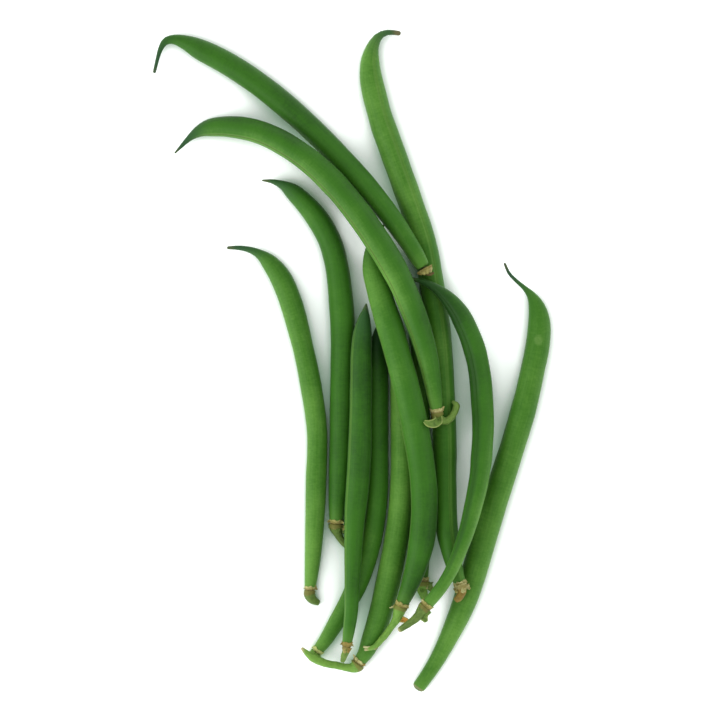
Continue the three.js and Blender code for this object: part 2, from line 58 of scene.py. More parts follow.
# Each route is a list of (x, y, radius). A pod's runs from the tip of its tail to its shoulder,
# a stem's or bract's from the bottom of its cap. The lowest beans come first.
# seam is how far the upper seam is turned from straight up, in degrees.
# toneAndShading is the green at the tail and at the stem, 0 deep and 1 pale: partly the pod's own
# green and partly painted light and shade, paler where a pod lies open and darker where others
# shade it. tail is how grey the tail is, and tip how brown its very end. crease is how deep the
# flank has sunk in beside the upper seam, in radii. hollow is painted shade, how dark the sunk-in
# skin is drawn, and line is how dark the seam's line is. ridgeHighlight is a painted highlight,
# how pale the skin beside that line is drawn. shade is painted shade on the flank that is on the
# left looking towards the stem, or painted light there where it is below 0.
# cup is the paper that the collar is of. cupLength and cupSize are in times its usual length and
# radius, and cupBulge is how much rounder it is. stemWider is in times the route's radius.
# stemOff leaves off that many millimetres of the brown band at the stem's root. dry is how dry
# its other end is.
# A flap is a dry sepal or a leafy bit on the cap: its colour, the side of the cap it is on in
# degrees, how far it reaches back over the pod or, below 0, on past the cap, how far it curls
# out, and its half width.
beans = [
    {
        "name": "hidden", "seam": 30, "toneAndShading": (0.4, 0.4), "tail": 0.4, "tip": 0.2,
        "pod": [
            (15.4, 33.6, 0.5), (17, 29.4, 1.1), (18.7, 23, 2), (20.5, 10.2, 2.4), (21.9, -3.2, 2.4),
            (22.7, -19.2, 2.4), (23, -35.2, 2.4), (23, -48, 2.4), (22.9, -57.6, 2.3), (22.7, -64, 2.2),
            (22.6, -70.2, 1.9),
        ],
        "cup": "pale",
        "stem": [(22.6, -74.2, 1.3), (23, -75.6, 1.1), (23.7, -77, 0.9)],
        "stemWider": 1.25, "dry": 0,
        "flaps": [
            ("pale", 70, 0.7, 0.9, 1.4), ("pale", 125, -1.2, 0.8, 1.2), ("olive", 165, -3, 2, 1.8),
            ("green", 90, -3.2, 0.8, 1.4), ("olive", 15, -3, 2, 1.7), ("pale", 50, -2, 0.9, 0.8),
        ],
    },
    {
        "name": "left_outer", "seam": 80, "toneAndShading": (0.7, 1.1), "tail": 0.9, "tip": 0.4,
        "pod": [
            (-39.7, 36, 0.5), (-36.5, 36, 0.7), (-32.6, 35.3, 1), (-29.4, 33.8, 1.6), (-26.6, 31.4, 2.6),
            (-23, 26.6, 3.3), (-19.7, 18.9, 3.5), (-15.5, 3.2, 3.3), (-13.1, -8.6, 3.3),
            (-11.2, -23, 3.2), (-11.5, -38.4, 3.2), (-11.9, -51.2, 3), (-12.6, -64, 2.5),
            (-13.4, -73, 1.7),
        ],
        "cup": "pale", "cupLength": 0.75, "cupSize": 0.96,
        "stem": [(-13.2, -76.2, 1.6), (-12, -77.3, 1.2), (-10.6, -78, 0.8)],
        "stemColour": "moss", "dry": 0.9,
        "flaps": [("tan", 30, 1.5, 0.1, 1), ("tan", 75, 0.8, 0.1, 0.9), ("pale", 160, 0.4, 0.2, 0.6)],
    },
    {
        "name": "left_inner", "seam": -78, "toneAndShading": (0.36, 0.2), "tail": 0.7, "tip": 0.5,
        "shade": 0.1,
        "pod": [
            (-28.5, 57.6, 0.3), (-25.6, 57.3, 0.7), (-22.4, 56.2, 1.4), (-19.2, 54.1, 2.6),
            (-14.9, 50, 3.1), (-10.6, 44.6, 3.5), (-7, 37.9, 3.6), (-4.9, 30.1, 3.7), (-3.7, 20.8, 3.8),
            (-3, 9.6, 3.8), (-3.2, -6.4, 3.7), (-3.5, -22.4, 3.6), (-4, -35.2, 3.4), (-4.5, -43.8, 3),
            (-5, -51.7, 2.2),
        ],
        "cup": "tan", "cupLength": 0.75, "cupSize": 0.93,
        "stem": [(-4.6, -55.5, 1.4), (-3.8, -57.1, 1.1), (-2.6, -58.7, 1), (-1.6, -60, 0.8)],
        "stemColour": "moss",
        "flaps": [
            ("tan", 175, 0.3, 0.6, 0.8), ("tan", 40, 0.4, 0.8, 0.7), ("tan", 20, -1.5, 0.9, 1.1),
            ("tan", 100, -1.3, 0.5, 1), ("olive", 15, -2.6, 0.8, 1.1), ("olive", 75, -2.4, 0.6, 1),
            ("moss", 140, -1.6, 0.6, 0.8),
        ],
    },
    {
        "name": "left_crossing", "seam": 62, "toneAndShading": (-0.28, 0.84), "tail": 0.5, "tip": 0.2,
        "pod": [
            (10.9, 13.4, 0.5), (9, 10.9, 1), (8.2, 7, 1.9), (8.1, 1.6, 2.9), (8.3, -6.4, 3.3),
            (8.3, -19.2, 3.4), (8.3, -32, 3.4), (8.1, -42.2, 3.4), (7.3, -51.2, 3.4), (5.8, -59.2, 3.4),
            (3.7, -66.2, 3.4), (1, -73.3, 3.2), (-2.2, -79.4, 2.9), (-5.4, -84.8, 2.6),
            (-8.3, -89.6, 2.2), (-10.9, -93.1, 1.8),
        ],
        "cup": "rim", "cupLength": 0.6,
        "stem": [(-12.6, -95.7, 1.2), (-13.1, -96.6, 0.8)],
        "stemOff": 3,
        "flaps": [("rim", 90, 0.4, 0.2, 0.7), ("rim", 170, 0.3, 0.3, 0.6)],
    },
    {
        "name": "right_outer", "seam": -80, "toneAndShading": (0.57, 0.93), "tail": 1, "tip": 0.4,
        "shade": -0.1,
        "pod": [
            (49.1, 30.7, 0.4), (50.4, 27.8, 0.5), (52.8, 25.3, 0.6), (55.4, 23, 0.8), (57.6, 20.5, 1.5),
            (59.2, 17, 2.6), (60, 12.2, 3.4), (59.5, 4.8, 3.8), (57.9, -3.2, 3.8), (55.5, -13.8, 3.9),
            (52.1, -25.6, 3.9), (48.5, -36.8, 4), (45.1, -47.4, 4), (40, -65, 4), (36.3, -76.8, 3.7),
            (32.2, -86.4, 3.1), (27.5, -95.7, 2.45), (24.2, -101, 2.15), (21.5, -104.8, 2.05),
        ],
    },
    {
        "name": "top_long", "seam": -24, "toneAndShading": (0.98, 0.35), "tail": 0.8, "tip": 1,
        "line": 0, "ridgeHighlight": 0.32,
        "pod": [
            (15, 104.8, 0.8), (11.5, 105.1, 0.9), (8.6, 103.8, 1.3), (6.7, 100.5, 2), (5.8, 96, 3),
            (6, 90.9, 3.6), (7.4, 84.2, 3.9), (9.6, 76.2, 4), (12.8, 67.2, 4.1), (16.8, 56, 4.1),
            (19.8, 47.4, 4.1), (23.2, 36.8, 4), (25.9, 22.4, 4), (27.6, 9.6, 4), (28.8, -3.2, 3.9),
            (29.4, -16, 3.9), (29.8, -28.8, 3.8), (29.9, -44.8, 3.7), (30.4, -54.4, 3.5),
            (31.5, -61.1, 3), (32.8, -66.2, 2.6), (34.4, -71.2, 2),
        ],
        "cup": "pale", "cupLength": 1.4, "cupSize": 0.85, "cupBulge": 0.2,
        "stem": [(35.1, -74.2, 1.6), (34.2, -75.7, 1.5), (33.1, -76.8, 1.1)],
        "stemColour": "orange", "stemWider": 0.85, "dry": 0,
        "flaps": [
            ("pale", 90, 0.8, 0.7, 1.3), ("pale", 45, 1, 0.6, 1.1), ("pale", 80, -2.2, 0.6, 1.4),
            ("pale", 15, -1.8, 0.9, 1.1), ("tan", 150, -1.6, 0.7, 1),
        ],
    },
    {
        "name": "centre_low", "seam": -78, "toneAndShading": (0.95, 0.8), "tail": 0.5, "tip": 0.3,
        "pod": [
            (9, 13.4, 0.4), (11.2, 11.2, 0.6), (13.1, 8, 1.3), (14.7, 3.5, 2.4), (15.7, -2.2, 3.3),
            (16, -11.2, 3.6), (16.1, -25.6, 3.7), (16.1, -38.4, 3.7), (15.1, -51.2, 3.8), (13, -64, 3.8),
            (10.2, -76.8, 3.7), (8.5, -83.2, 3.6), (6.2, -89.6, 3.1), (4.2, -94.1, 2.4),
            (2.4, -96.6, 1.9),
        ],
        "cup": "pale", "cupLength": 0.85,
        "stem": [
            (0, -98.7, 1.3), (-1.9, -98.5, 1), (-4.5, -97.9, 1), (-7.7, -97.3, 1), (-10.6, -96.3, 1.1),
            (-13.1, -94.9, 1), (-14.7, -93.6, 0.7), (-15.7, -92.6, 0.5),
        ],
        "stemWider": 1.22,
        "flaps": [
            ("pale", 150, 1.2, 1.4, 0.45), ("pale", 115, 0.7, 1.5, 0.5), ("brown", 40, 0.9, 0.9, 0.6),
        ],
    },
    {
        "name": "centre", "seam": 78, "toneAndShading": (0.86, 0.08), "tail": 0.4, "tip": 0.3,
        "pod": [
            (9.9, 42.9, 0.5), (8, 40.3, 0.8), (6.6, 37.4, 1.5), (6.2, 33.6, 2.4), (6.7, 29.1, 3.3),
            (8.2, 23.4, 3.7), (10.2, 16.6, 4), (12.5, 9.3, 4.1), (14.7, 1.3, 4.1), (16.8, -6.7, 4.2),
            (18.7, -14.7, 4.2), (20.5, -23.4, 4.2), (22.1, -33, 4.2), (23, -41.9, 4.2), (23, -49.9, 4.1),
            (22.2, -57.9, 4), (20.5, -65.6, 3.5), (18.4, -72, 2.8), (16, -77.8, 2),
        ],
        "cup": "tan",
        "stem": [
            (14.1, -82.9, 1.3), (12.5, -85.4, 1), (10.6, -88, 1), (8.8, -90.1, 0.9), (7, -91.8, 0.8),
            (4.5, -92.6, 0.4),
        ],
        "fork": [(8, -91.4, 0.6), (7.4, -92, 0.7), (6.4, -92, 0.5), (3.7, -91.8, 0.3)],
        "flaps": [("pale", 185, -1.9, 1.5, 0.45), ("tan", 90, 0.6, 0.4, 0.9), ("tan", 20, 0.5, 0.5, 0.7)],
        "bract": [(14.4, -81.9, 0.8), (16, -82.9, 1), (17.6, -83.2, 0.8), (18.6, -83.8, 0.3)],
        "bractColour": "amber",
    },
    {
        "name": "left_front", "seam": 58, "toneAndShading": (-0.1, 0.35), "tail": 0.6, "tip": 0.3,
        "line": 0, "ridgeHighlight": 0.45,
        "pod": [
            (4.5, 17.7, 0.35), (4.4, 16.7, 0.7), (4.2, 15.2, 1.3), (3.9, 13.2, 2), (3.4, 9, 2.9),
            (3, 3.2, 3.3), (2.9, -6.4, 3.5), (2.7, -19.2, 3.6), (2.4, -30.4, 3.7), (1.8, -40, 3.7),
            (1.1, -48, 3.5), (0.6, -56, 3), (0.3, -64, 2.7), (0, -73.6, 2.4), (-0.3, -80.6, 2.2),
            (-1, -86.4, 1.9), (-1.6, -90.6, 1.5),
        ],
        "cup": "brown", "cupLength": 0.8,
        "stem": [(-2.2, -93.8, 1.4), (-2.7, -95.2, 1.2), (-3.1, -96.5, 0.8)],
        "stemColour": "olive", "stemWider": 0.8, "dry": 0.5,
        "flaps": [
            ("brown", 165, 0.3, 0.5, 0.9), ("tan", 105, -1.9, 0.3, 1), ("brown", 60, -1.6, 0.3, 1),
            ("tan", 10, 0.4, 0.5, 0.9),
        ],
    },
    {
        "name": "right_inner", "seam": 34, "toneAndShading": (-0.32, 0.98), "tail": 0.15, "tip": 0.2,
        "crease": 0.07, "hollow": 0.55, "line": 0.1, "ridgeHighlight": 0, "shade": -0.25,
        "pod": [
            (18.9, 25.9, 0.5), (22.4, 25.1, 0.9), (26.6, 23, 1.5), (30.4, 19.8, 2.4), (33.9, 15.4, 3.1),
            (37, 9.3, 3.5), (39.4, 2.6, 3.6), (40.9, -4.8, 3.6), (41.6, -12.8, 3.6), (41.9, -20.8, 3.5),
            (41.5, -28.8, 3.5), (40.5, -37.8, 3.2), (38.6, -46.7, 2.9), (35.8, -56.6, 2.5),
            (31.5, -67.2, 2.1), (27.5, -73.6, 2), (24, -77.8, 1.9),
        ],
        "cup": "tan", "cupLength": 0.8,
        "stem": [
            (21.8, -80.5, 1.5), (20.6, -82.1, 1.3), (18.9, -83.5, 1.1), (17, -84.8, 1),
            (15.2, -86.1, 0.8),
        ],
        "stemColour": "moss",
        "flaps": [
            ("tan", 90, 0.6, 0.5, 0.9), ("pale", 150, 0.7, 0.7, 0.6), ("olive", 30, -2.6, 0.8, 1.2),
            ("olive", 120, -2, 0.6, 1), ("pale", -15, -2.8, 1.4, 0.8),
        ],
        "bract": [(22.1, -81, 1), (23, -82.2, 1.2), (23.7, -83.5, 0.8)],
        "bractColour": "olive",
    },
    {
        "name": "upper_left", "seam": 80, "toneAndShading": (0.11, 0.62), "tail": 0.9, "tip": 0.2,
        "pod": [
            (-63.4, 92.5, 0.5), (-62.4, 96.6, 0.6), (-61.4, 99.8, 0.8), (-59.8, 102.2, 1.2),
            (-57.3, 102.8, 1.5), (-53.4, 101.8, 2.3), (-48.6, 99.5, 3.2), (-40.6, 95.4, 3.6),
            (-31, 89.2, 3.7), (-21.6, 81.8, 3.7), (-12, 73.1, 3.7), (-2.2, 63, 3.6), (6.4, 53.3, 3.5),
            (12.7, 45.2, 3.2), (17.6, 38.1, 2.8), (20.5, 33.4, 2.6), (22.4, 30.1, 2.2),
        ],
        "cup": "tan", "cupLength": 0.4, "cupSize": 0.82,
        "stem": [(23.9, 27.7, 1.2), (25, 27.3, 0.9), (26, 27.9, 0.6)],
        "stemColour": "twig", "stemWider": 0.6, "dry": 0,
        "flaps": [
            ("tan", 75, -2.1, -0.6, 1.2), ("pale", 30, -2.1, -0.4, 1), ("tan", 115, -1.8, -0.6, 1.1),
            ("brown", 155, -1.3, -0.4, 0.9), ("tan", -10, -1.7, -0.3, 1),
        ],
    },
    {
        "name": "on_top", "seam": 52, "toneAndShading": (0.4, 0.68), "tail": 0.9, "tip": 0.3,
        "line": 0.75, "ridgeHighlight": 0.4, "shade": 0.35,
        "pod": [
            (-56.6, 66.6, 0.3), (-54.7, 68.6, 0.6), (-52.2, 71.1, 1), (-49.1, 73.3, 1.9),
            (-45.4, 74.5, 2.9), (-39, 74.7, 3.4), (-31, 73.3, 3.7), (-23.1, 69.9, 3.9), (-13.6, 63.5, 4),
            (-5.6, 56, 4.1), (1.8, 47, 4.2), (8.2, 37.7, 4.2), (14.4, 27.2, 4.1), (19.7, 15, 3.9),
            (23.1, 4.8, 3.5), (25, -3.2, 3.1), (26.3, -11.2, 2.5), (27, -16, 1.9),
        ],
        "cup": "pale",
        "stem": [
            (27.8, -18.9, 1.5), (30.1, -19.5, 1.1), (31.8, -18.2, 1), (33, -16.3, 1), (33.4, -14.4, 1),
            (32.3, -13.4, 0.5),
        ],
        "stemColour": "olive", "dry": 0,
        "flaps": [("pale", 25, 1.4, 0.9, 0.5)],
        "bract": [(27.5, -19.4, 1.2), (25.8, -20.2, 1.4), (24, -20.1, 1.2), (22.9, -19.4, 0.6)],
        "bractColour": "olive",
    },
]


# The smooth curve through a route's points, as short straight bits
def curveThrough(route):
    points = np.array(route, float)
    points = np.vstack([2 * points[0] - points[1], points, 2 * points[-1] - points[-2]])
    share = np.linspace(0, 1, lying["finePieces"], endpoint=False)[:, None]
    bits = []
    for before, start, end, after in zip(points, points[1:], points[2:], points[3:]):
        gapBefore = np.linalg.norm(start - before) ** 0.5
        gap = np.linalg.norm(end - start) ** 0.5
        gapAfter = np.linalg.norm(after - end) ** 0.5
        leaving = gap * (
            (start - before) / gapBefore - (end - before) / (gapBefore + gap) + (end - start) / gap)
        arriving = gap * (
            (end - start) / gap - (after - start) / (gap + gapAfter) + (after - end) / gapAfter)
        square = -3 * start + 3 * end - 2 * leaving - arriving
        cube = 2 * start - 2 * end + leaving + arriving
        bits.append(start + leaving * share + square * share ** 2 + cube * share ** 3)
    return np.vstack(bits + [points[-2:-1]])


# Points one step apart along a route, each as x, y, radius
def sampleRoute(route):
    fine = curveThrough(route)
    travelled = np.concatenate([[0], np.cumsum(np.linalg.norm(np.diff(fine, axis=0), axis=1))])
    count = max(2, round(travelled[-1] / lying["sampleStep"]))
    wanted = np.linspace(0, travelled[-1], count + 1)
    return np.stack([np.interp(wanted, travelled, fine[:, i]) for i in range(3)], axis=1)


# The lowest that each point can lie: on the table, or on a piece that was laid before it
def restingHeights(samples, piecesBelow):
    x, y, radius = samples.T
    heights = np.maximum(radius - lying["tablePress"], 0)
    for below in piecesBelow:
        reach = radius[:, None] + below[:, 3] + lying["pieceGap"]
        away = np.hypot(x[:, None] - below[:, 0], y[:, None] - below[:, 1])
        over = below[:, 2] + np.sqrt(np.maximum(reach ** 2 - away ** 2, 0))
        heights = np.maximum(heights, np.where(away < reach, over, 0).max(axis=1))
    return heights


# A stiff pod touches what is under it at a few places and bows gently between them
def drape(heights, bendRadius):
    place = np.arange(len(heights)) * lying["sampleStep"]
    sag = (place[:, None] - place) ** 2 / (2 * bendRadius)
    return (heights - sag).max(axis=1)


def smooth(heights):
    for turn in range(lying["smoothingPasses"]):
        inner = (heights[:-2] + 2 * heights[1:-1] + heights[2:]) / 4
        heights = np.concatenate([heights[:1], inner, heights[-1:]])
    return heights


# Gives a laid route's points as x, y, height, radius
def layDown(route, piecesBelow, bendRadius, heldHeight=0):
    samples = sampleRoute(route)
    resting = restingHeights(samples, piecesBelow)
    resting[0] = max(resting[0], heldHeight)
    heights = smooth(drape(resting, bendRadius))
    return np.column_stack([samples[:, :2], heights, samples[:, 2]])


# A stem or bract is held by the bottom of its cup and droops or lies on others further out
def layDownFrom(root, rootRadius, route, piecesBelow):
    whole = [(root[0], root[1], rootRadius)] + route
    laid = layDown(whole, piecesBelow, lying["stemBendRadius"], root[2])
    fade = (1 - np.arange(len(laid)) / (len(laid) - 1)) ** 2
    laid[:, 2] += (root[2] - laid[0, 2]) * fade
    return laid


def directionAtEnd(samples):
    last = samples[-1, :3] - samples[-2, :3]
    return last / np.linalg.norm(last)


def layBundle():
    laidPieces = []
    for bean in beans:
        pod = layDown(bean["pod"], laidPieces, lying["podBendRadius"])
        bean["podPath"] = pod
        newPieces = [pod]
        if "stem" in bean:
            root = pod[-1, :3] + directionAtEnd(pod) * lying["cupDepth"]
            bean["stemPath"] = layDownFrom(root, pod[-1, 3], bean["stem"], laidPieces)
            newPieces.append(bean["stemPath"])
        if "bract" in bean:
            rootRadius = pod[-1, 3] * lying["bractRoot"]
            bean["bractPath"] = layDownFrom(root, rootRadius, bean["bract"], laidPieces)
            newPieces.append(bean["bractPath"])
        laidPieces += newPieces
    print("laid", len(beans), "beans")


# Modelling helpers
def deselectAll():
    if bpy.context.object and bpy.context.object.mode != "OBJECT":
        bpy.ops.object.mode_set(mode="OBJECT")
    bpy.ops.object.select_all(action="DESELECT")


def activate(piece):
    deselectAll()
    piece.select_set(True)
    bpy.context.view_layer.objects.active = piece


def copyOf(master, name):
    piece = master.copy()
    piece.data = master.data.copy()
    piece.name = name
    piece.data.name = name
    bpy.context.collection.objects.link(piece)
    return piece


def verticesOf(piece):
    co = np.empty(len(piece.data.vertices) * 3)
    piece.data.vertices.foreach_get("co", co)
    return co.reshape(-1, 3)


def moveVertices(piece, places):
    piece.data.vertices.foreach_set("co", np.asarray(places, float).ravel())
    piece.data.update()


def liftOffTable(piece):
    places = verticesOf(piece)
    places[:, 2] = np.maximum(places[:, 2], 0)
    moveVertices(piece, places)


# Keeps a vector for each vertex, which a material reads as a pattern that follows the surface
def keepPattern(piece, values, share=None):
    pattern = piece.data.attributes.new("pattern", "FLOAT_VECTOR", "POINT")
    pattern.data.foreach_set("vector", np.asarray(values, float).ravel())
    if share is not None:
        kept = piece.data.attributes.new("share", "FLOAT", "POINT")
        kept.data.foreach_set("value", np.asarray(share, float))


def addModifier(piece, kind, **settings):
    activate(piece)
    bpy.ops.object.modifier_add(type=kind)
    modifier = piece.modifiers[-1]
    for key, value in settings.items():
        setattr(modifier, key, value)
    bpy.ops.object.modifier_apply(modifier=modifier.name)


# Gives a thin sheet its thickness, in millimetres, and rounds it
def thicken(piece, thickness):
    addModifier(piece, "SOLIDIFY", thickness=thickness * mm, offset=0)
    addModifier(piece, "SUBSURF", levels=1, render_levels=1)
    activate(piece)
    bpy.ops.object.shade_smooth()


def tidyNormals(piece):
    activate(piece)
    bpy.ops.object.mode_set(mode="EDIT")
    bpy.ops.mesh.select_all(action="SELECT")
    bpy.ops.mesh.remove_doubles(threshold=0.000001)
    bpy.ops.mesh.normals_make_consistent(inside=False)
    bpy.ops.object.mode_set(mode="OBJECT")
    bpy.ops.object.shade_smooth()


# "left_outer" as "LeftOuter"
def plainName(bean):
    return bean["name"].title().replace("_", "")


# A straight open tube of radius 1 along X, from 0 to 1, cut into rings
def makeTube(name, sides, rings):
    deselectAll()
    bpy.ops.mesh.primitive_circle_add(vertices=sides, radius=1, rotation=(0, math.pi / 2, 0))
    tube = bpy.context.object
    tube.name = name
    bpy.ops.object.transform_apply(location=False, rotation=True, scale=False)
    bpy.ops.object.mode_set(mode="EDIT")
    bpy.ops.mesh.extrude_region_move(TRANSFORM_OT_translate={"value": (1, 0, 0)})
    bpy.ops.object.mode_set(mode="OBJECT")
    bpy.context.tool_settings.mesh_select_mode = (False, True, False)
    corners = tube.data.vertices
    for edge in tube.data.edges:
        start, end = edge.vertices
        edge.select = abs(corners[start].co.x - corners[end].co.x) > 0.5  # the long edges
    bpy.ops.object.mode_set(mode="EDIT")
    bpy.ops.mesh.subdivide(number_cuts=rings)
    bpy.ops.object.mode_set(mode="OBJECT")
    return tube


# Rounds off an open end of a tube by extruding its edge in steps and closing the last one.
# Each step is how far it goes along X and how much slimmer it gets.
def closeTube(tube, end, steps):
    bpy.context.tool_settings.mesh_select_mode = (True, False, False)
    bpy.ops.object.mode_set(mode="EDIT")
    bpy.ops.mesh.select_all(action="DESELECT")
    bpy.ops.object.mode_set(mode="OBJECT")
    for vertex in tube.data.vertices:
        vertex.select = abs(vertex.co.x - end) < 0.00001
    bpy.ops.object.mode_set(mode="EDIT")
    place = end
    for move, slimmer in steps:
        bpy.ops.mesh.extrude_region_move(TRANSFORM_OT_translate={"value": (move, 0, 0)})
        place += move
        bpy.ops.transform.resize(value=(1, slimmer, slimmer), center_override=(place, 0, 0))
    bpy.ops.mesh.merge(type="CENTER")
    bpy.ops.object.mode_set(mode="OBJECT")


# Bends a straight piece along a laid path. Its X is in metres along the path, and its Y and Z
# are in radii: the path's own radius scales them.
def bendAlong(piece, path, tilt=0):
    x, y, z, radius = path.T
    data = bpy.data.curves.new(piece.name + "Path", "CURVE")
    data.dimensions = "3D"
    data.twist_mode = "Z_UP"
    data.use_stretch = False
    data.use_deform_bounds = False
    line = data.splines.new("POLY")
    line.points.add(len(path) - 1)
    middle = lying["middle"]
    spots = np.column_stack([x - middle[0], y - middle[1], z, np.full(len(x), 1 / mm)]) * mm
    line.points.foreach_set("co", spots.ravel())
    line.points.foreach_set("radius", radius * mm)
    line.points.foreach_set("tilt", np.full(len(path), tilt))
    guide = bpy.data.objects.new(piece.name + "Path", data)
    bpy.context.collection.objects.link(guide)
    addModifier(piece, "CURVE", object=guide, deform_axis="POS_X")
    bpy.data.objects.remove(guide)
    bpy.data.curves.remove(data)


def lengthOf(path):
    return np.linalg.norm(np.diff(path[:, :3], axis=0), axis=1).sum()


# Pods
podShape = {
    "sides": 48,
    "rings": 190,
    "seamCrowding": 0.3,  # how much closer together the columns stand at the seams
    "seamSwell": 0.02,  # a pod is this much deeper across its seams, in radii
    "seamGroove": 0.03,
    "seamGrooveWidth": 0.06,
    "seamLip": 0.01,
    "seamLipPlace": 0.16,
    "seamLipWidth": 0.07,
    "creaseWidth": 0.24,
    "creaseFrom": 1.6,  # a pod this thin, in millimetres, has no crease yet
    "creaseFull": 1.2,  # and one this much thicker has it in full
    "randomStart": 100,  # another number gives other swellings, waists and torn edges
    "firstSeed": (6, 14),  # millimetres from the tip, at the least and the most
    "seedPitch": 11.5,  # millimetres
    "seedPitches": (0.85, 1.2),  # the least and the most, in times the pitch
    "seedSizes": (0.6, 1.15),
    "seedReach": 3.6,
    "seedSwell": 0.036,
    "seedEmpty": 2.3,  # a pod this thin, in millimetres, holds no seeds yet
    "seedFull": 0.9,  # and one this much thicker is full
    "waist": 0.012,  # slow changes of thickness along a pod
    "waves": (31, 17, 9),  # and their lengths in millimetres
    "tailSteps": [(-0.002, 0.85), (-0.0013, 0.55), (-0.0005, 0.5)],
    "neckSteps": [(0.003, 0.86), (0.001, 0.6), (0.006, 0.9)],
    "bareSteps": [(0.003, 0.92), (0.003, 0.78), (0.0016, 0.6), (0.0004, 0.5)],
}


# The two masters: one with a neck for a cap, one with the blunt end of a lost cap
def makePodMaster(name, endSteps):
    shape = podShape
    pod = makeTube(name, shape["sides"], shape["rings"])
    closeTube(pod, 0, shape["tailSteps"])
    closeTube(pod, 1, endSteps)
    x, y, z = verticesOf(pod).T
    radius = np.hypot(y, z)
    angle = np.arctan2(z, y)
    angle = angle + shape["seamCrowding"] * np.sin(2 * angle)
    offSeam = np.abs(np.cos(angle))
    groove = shape["seamGroove"] * np.exp(-(offSeam / shape["seamGrooveWidth"]) ** 2)
    lip = shape["seamLip"] * np.exp(-((offSeam - shape["seamLipPlace"]) / shape["seamLipWidth"]) ** 2)
    deeper = shape["seamSwell"] * -np.cos(2 * angle)
    radius = radius * (1 + deeper + lip - groove)
    moveVertices(pod, np.column_stack([x, radius * np.cos(angle), radius * np.sin(angle)]))
    tidyNormals(pod)
    return pod


def thicknessAt(along, path):
    return np.interp(along, np.arange(len(path)) * lying["sampleStep"], path[:, 3])


# Swells the flanks over the seeds, which sit unevenly along the pod
def swellSeeds(along, side, path, chance):
    shape = podShape
    filled = np.clip((thicknessAt(along, path) - shape["seedEmpty"]) / shape["seedFull"], 0, 1)
    swell = np.zeros(len(along))
    place = chance.uniform(*shape["firstSeed"])
    while place < len(path):
        size = chance.uniform(*shape["seedSizes"])
        swell += size * np.exp(-((along - place) / shape["seedReach"]) ** 2)
        place += shape["seedPitch"] * chance.uniform(*shape["seedPitches"])
    return shape["seedSwell"] * (swell - 0.45) * filled * side ** 2


# On some pods the skin has sunk in broadly along the upper seam
def sinkCrease(along, side, upward, path, depth):
    shape = podShape
    full = np.clip((thicknessAt(along, path) - shape["creaseFrom"]) / shape["creaseFull"], 0, 1)
    return depth * full * np.exp(-(side / shape["creaseWidth"]) ** 2) * (upward > 0)


def makePod(bean, master, chance):
    path = bean["podPath"]
    pod = copyOf(master, "pod" + plainName(bean))
    length = lengthOf(path)
    x, y, z = verticesOf(pod).T
    along = x * length
    swell = 1 + swellSeeds(along, y, path, chance)
    swell -= sinkCrease(along, y, z, path, bean.get("crease", 0))
    for wave in podShape["waves"]:
        turn = chance.uniform(0, 2 * math.pi)
        waist = podShape["waist"] * wave / podShape["waves"][0]
        swell += waist * np.sin(2 * math.pi * along / wave + turn)
    keepPattern(pod, np.column_stack([along, y, z]))
    turn = math.radians(bean["seam"])
    across = y * math.cos(turn) - z * math.sin(turn)
    upward = y * math.sin(turn) + z * math.cos(turn)
    moveVertices(pod, np.column_stack([along * mm, across * swell, upward * swell]))
    bendAlong(pod, path)
    liftOffTable(pod)
    return pod


# Caps: a thin papery collar with a torn edge, dry curled sepals, a green stem, leafy bits on some
cupShape = {
    "sides": 60,
    "teeth": 7,
    "toothLength": 0.32,  # millimetres
    "toothWidth": 0.36,
    "toothFlare": 0.14,
    "ragged": (0.12, 0.09),
    "pucker": (0.022, 0.016),
    "edgeDepth": 0.8,  # millimetres
    "foot": (1.1, 0.6),  # where the foot starts and how far on it is full
    "footRagged": 1.4,
    "wall": 0.14,
    "overPod": 0.35,  # how far the torn edge reaches over the pod's shoulder
    # distance from the edge and radius of each ring, in millimetres and in radii
    "profile": [
        (0, 1.09), (0.2, 1.08), (0.45, 1.05), (0.75, 1.04), (1.05, 1), (1.4, 0.94), (1.75, 0.84),
    ],
}


def makeCupMaster():
    shape = cupShape
    deselectAll()
    start, firstRadius = shape["profile"][0]
    bpy.ops.mesh.primitive_circle_add(
        vertices=shape["sides"], radius=firstRadius, location=(start * mm, 0, 0),
        rotation=(0, math.pi / 2, 0))
    cup = bpy.context.object
    cup.name = "cupMaster"
    bpy.ops.object.transform_apply(location=True, rotation=True, scale=False)
    bpy.ops.object.mode_set(mode="EDIT")
    bpy.ops.mesh.select_all(action="SELECT")
    for (before, slim), (place, radius) in zip(shape["profile"], shape["profile"][1:]):
        step = (place - before) * mm
        bpy.ops.mesh.extrude_region_move(TRANSFORM_OT_translate={"value": (step, 0, 0)})
        bpy.ops.transform.resize(
            value=(1, radius / slim, radius / slim), center_override=(place * mm, 0, 0))
    bpy.ops.object.mode_set(mode="OBJECT")
    tidyNormals(cup)
    return cup


# The directions to the left of a way and up from it
def leftAndUp(along):
    left = Vector((0, 0, 1)).cross(along).normalized()
    return left, along.cross(left)


def placeAt(piece, place, along):
    left, up = leftAndUp(along)
    turn = Matrix((along, left, up)).transposed().to_4x4()
    piece.data.transform(Matrix.Translation(place) @ turn)


def endOf(path):
    x, y, z = path[-1, :3]
    return Vector((x - lying["middle"][0], y - lying["middle"][1], z)) * mm


